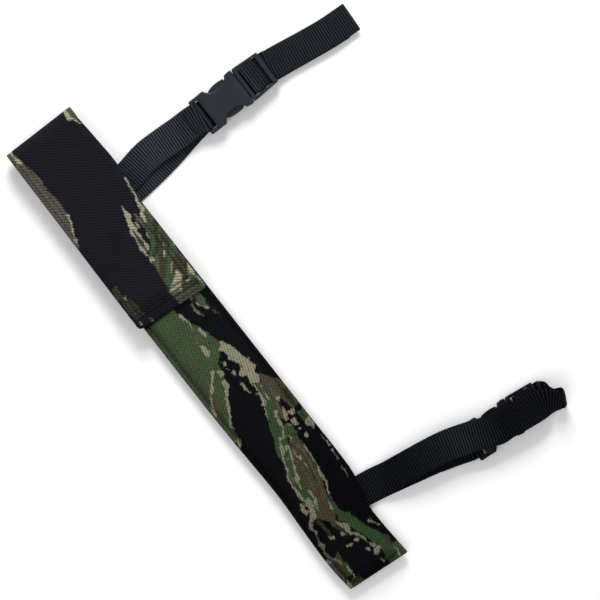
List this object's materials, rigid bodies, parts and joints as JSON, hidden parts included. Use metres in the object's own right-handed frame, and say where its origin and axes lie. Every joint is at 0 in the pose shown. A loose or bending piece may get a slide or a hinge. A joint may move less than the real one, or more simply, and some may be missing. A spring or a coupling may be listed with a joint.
{
  "type": "forearm guard",
  "caption": "Long padded camouflage forearm guard with a fold-over hook-and-loop flap and webbing straps closed by side-release buckles.",
  "frame": {"origin": "centre of the guard's inner face, the one that lies on the forearm", "axes": "+Y along the guard towards the flap's fold, +X across it towards the side the straps leave from, +Z out of the arm through the outer face"},
  "size_m": [0.1899, 0.2937, 0.0164],
  "materials": {
    "cover_cloth": "matte woven camouflage cloth",
    "lining_cloth": "matte woven lining",
    "webbing": "ribbed black webbing",
    "fastening": "hook-and-loop tape",
    "foam": "closed-cell foam",
    "stiffener": "smooth plastic sheet",
    "moulding": "satin black acetal moulding"
  },
  "bodies": {
    "sleeve": {"back_panel": "lining_cloth", "front_panel": "cover_cloth", "foam_pad": "foam", "insert_plate": "stiffener", "loop_patch": "fastening", "flap_fold": "cover_cloth", "upper_strap_anchor": "webbing", "lower_strap_anchor": "webbing"},
    "flap": {"flap_outer": "cover_cloth", "flap_lining": "lining_cloth", "hook_patch": "fastening"},
    "upper_strap": {"upper_short_strap": "webbing", "upper_buckle_housing": "moulding"},
    "upper_latch": {"upper_long_strap": "webbing", "upper_buckle_frame": "moulding"},
    "upper_prong_left": {"upper_prong_a": "moulding"},
    "upper_prong_right": {"upper_prong_b": "moulding"},
    "lower_strap": {"lower_short_strap": "webbing", "lower_buckle_housing": "moulding"},
    "lower_latch": {"lower_long_strap": "webbing", "lower_buckle_frame": "moulding"},
    "lower_prong_left": {"lower_prong_a": "moulding"},
    "lower_prong_right": {"lower_prong_b": "moulding"}
  },
  "joints": [
    {"name": "flap_hinge", "type": "hinge", "parent": "sleeve", "child": "flap", "pos_m": [0, 0.1413, 0.0051], "axis": [-1, 0, 0], "range_deg": [0, 175], "deforming": ["flap_fold"]},
    {"name": "upper_strap_swing", "type": "hinge", "parent": "sleeve", "child": "upper_strap", "pos_m": [0.0245, 0.0975, -0.00165], "axis": [0, -1, 0], "range_deg": [-90, 90], "deforming": ["upper_strap_anchor"]},
    {"name": "upper_latch_slide", "type": "slide", "parent": "upper_strap", "child": "upper_latch", "axis": [1, 0, 0], "range_m": [0, 0.022], "deforming": ["upper_prong_a", "upper_prong_b"]},
    {"name": "upper_prong_left_flex", "type": "hinge", "parent": "upper_latch", "child": "upper_prong_left", "pos_m": [0.0974, 0.1061, 0.0022], "axis": [0, 0, 1], "range_deg": [0, 8], "stiffness_Nm_per_rad": 0.2},
    {"name": "upper_prong_right_flex", "type": "hinge", "parent": "upper_latch", "child": "upper_prong_right", "pos_m": [0.0974, 0.0929, 0.0022], "axis": [0, 0, -1], "range_deg": [0, 8], "stiffness_Nm_per_rad": 0.2},
    {"name": "lower_strap_swing", "type": "hinge", "parent": "sleeve", "child": "lower_strap", "pos_m": [0.0245, -0.108, -0.00165], "axis": [0, -1, 0], "range_deg": [-90, 90], "deforming": ["lower_strap_anchor"]},
    {"name": "lower_latch_slide", "type": "slide", "parent": "lower_strap", "child": "lower_latch", "axis": [0.9973, -0.0732, 0], "range_m": [0, 0.022], "deforming": ["lower_prong_a", "lower_prong_b"]},
    {"name": "lower_prong_left_flex", "type": "hinge", "parent": "lower_latch", "child": "lower_prong_left", "pos_m": [0.10511, -0.11805, 0.0006], "axis": [0, 0, 1], "range_deg": [0, 8], "stiffness_Nm_per_rad": 0.2},
    {"name": "lower_prong_right_flex", "type": "hinge", "parent": "lower_latch", "child": "lower_prong_right", "pos_m": [0.10415, -0.13122, 0.0006], "axis": [0, 0, -1], "range_deg": [0, 8], "stiffness_Nm_per_rad": 0.2}
  ]
}
